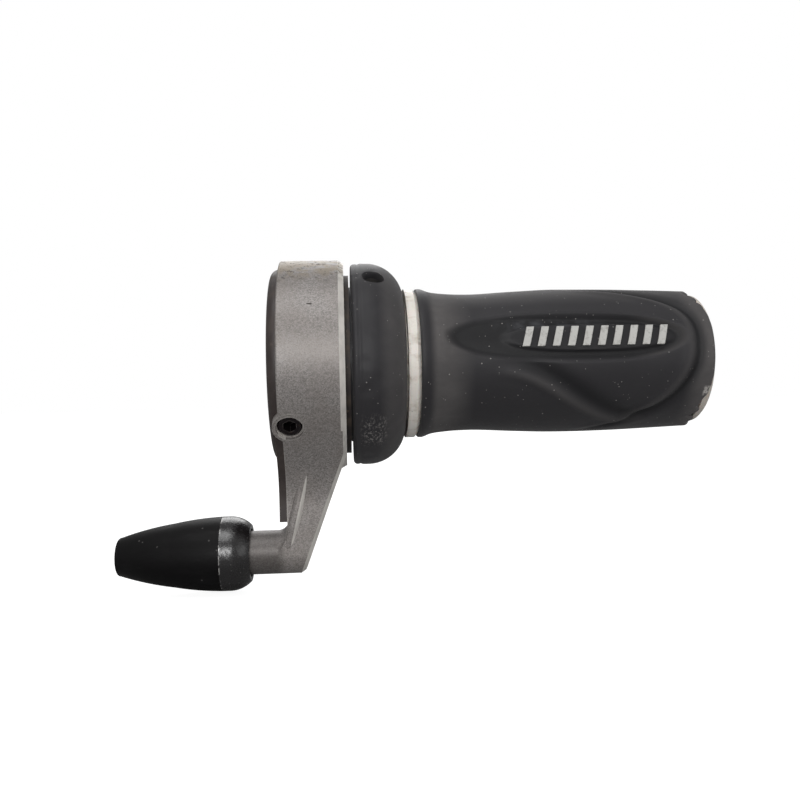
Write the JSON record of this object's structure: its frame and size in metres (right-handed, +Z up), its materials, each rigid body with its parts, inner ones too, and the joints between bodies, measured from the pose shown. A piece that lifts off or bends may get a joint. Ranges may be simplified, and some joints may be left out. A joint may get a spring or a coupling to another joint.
{
  "type": "twist grip bicycle gear shifter",
  "caption": "Twist-grip bicycle gear shifter: silver cast housing with a cable arm, turning rubber grip and collar, and a black barrel adjuster.",
  "frame": {"origin": "on the handlebar's axis, at the inboard end of the clamp sleeve", "axes": "+X along the handlebar, outboard; +Z up; the front of the shifter faces -Y"},
  "size_m": [0.1238, 0.0446, 0.069],
  "materials": {
    "silver_cast": "fine metallic silver-grey coat on cast alloy, worn at the edges",
    "black_plastic": "brown-black moulded plastic, satin",
    "dark_nylon": "dark moulded nylon, dirty",
    "white_nylon": "off-white moulded nylon, slightly dirty",
    "washer_plastic": "white acetal",
    "drum_plastic": "dark grey moulded nylon",
    "core_plastic": "black moulded nylon",
    "grip_rubber": "moulded rubber, matt, dusty",
    "mark_grey": "light grey moulded mark",
    "screw_steel": "black oxide steel",
    "bright_steel": "plain steel",
    "spring_steel": "spring steel",
    "wire_steel": "stranded stainless wire",
    "alloy_sleeve": "plain aluminium",
    "brass_stem": "turned brass",
    "barrel_black": "black moulded plastic, matt",
    "barrel_gloss": "black moulded plastic, glossy",
    "guide_plastic": "clear-white liner plastic"
  },
  "bodies": {
    "housing": {"housing": "silver_cast", "end_cover": "black_plastic", "cover_screws": "bright_steel", "mandrel": "alloy_sleeve", "clamp_screw": "screw_steel", "clamp_shoe": "bright_steel", "retainer_ring": "dark_nylon", "thrust_washer": "washer_plastic", "detent_spring": "spring_steel", "cable_guide": "guide_plastic", "inner_cable": "wire_steel", "adjuster_spring": "spring_steel"},
    "twist_grip": {"shift_tube": "white_nylon", "cable_spool": "drum_plastic", "collar_core": "core_plastic", "collar_cover": "grip_rubber", "grip_sleeve": "grip_rubber", "grip_inlay": "mark_grey", "cable_head": "wire_steel"},
    "casing_ferrule": {"casing_ferrule": "brass_stem"},
    "barrel_adjuster": {"adjuster_stem": "brass_stem", "adjuster_body": "barrel_black", "adjuster_sleeve": "barrel_gloss"}
  },
  "joints": [
    {"name": "grip_turn", "type": "hinge", "parent": "housing", "child": "twist_grip", "pos_m": [0, 0, 0], "axis": [-1, 0, 0], "range_deg": [0, 120], "deforming": ["detent_spring"]},
    {"name": "adjuster_advance", "type": "slide", "parent": "housing", "child": "casing_ferrule", "axis": [-1, 0, 0], "range_m": [0, 0.005], "deforming": ["adjuster_spring"]},
    {"name": "adjuster_turn", "type": "hinge", "parent": "casing_ferrule", "child": "barrel_adjuster", "pos_m": [-0.02, -0.005, -0.0391], "axis": [-1, 0, 0], "range_deg": [0, 1800]}
  ],
  "couplings": [
    {"joint": "adjuster_advance", "follows": "adjuster_turn", "m_per_rad": 0.00015915}
  ]
}
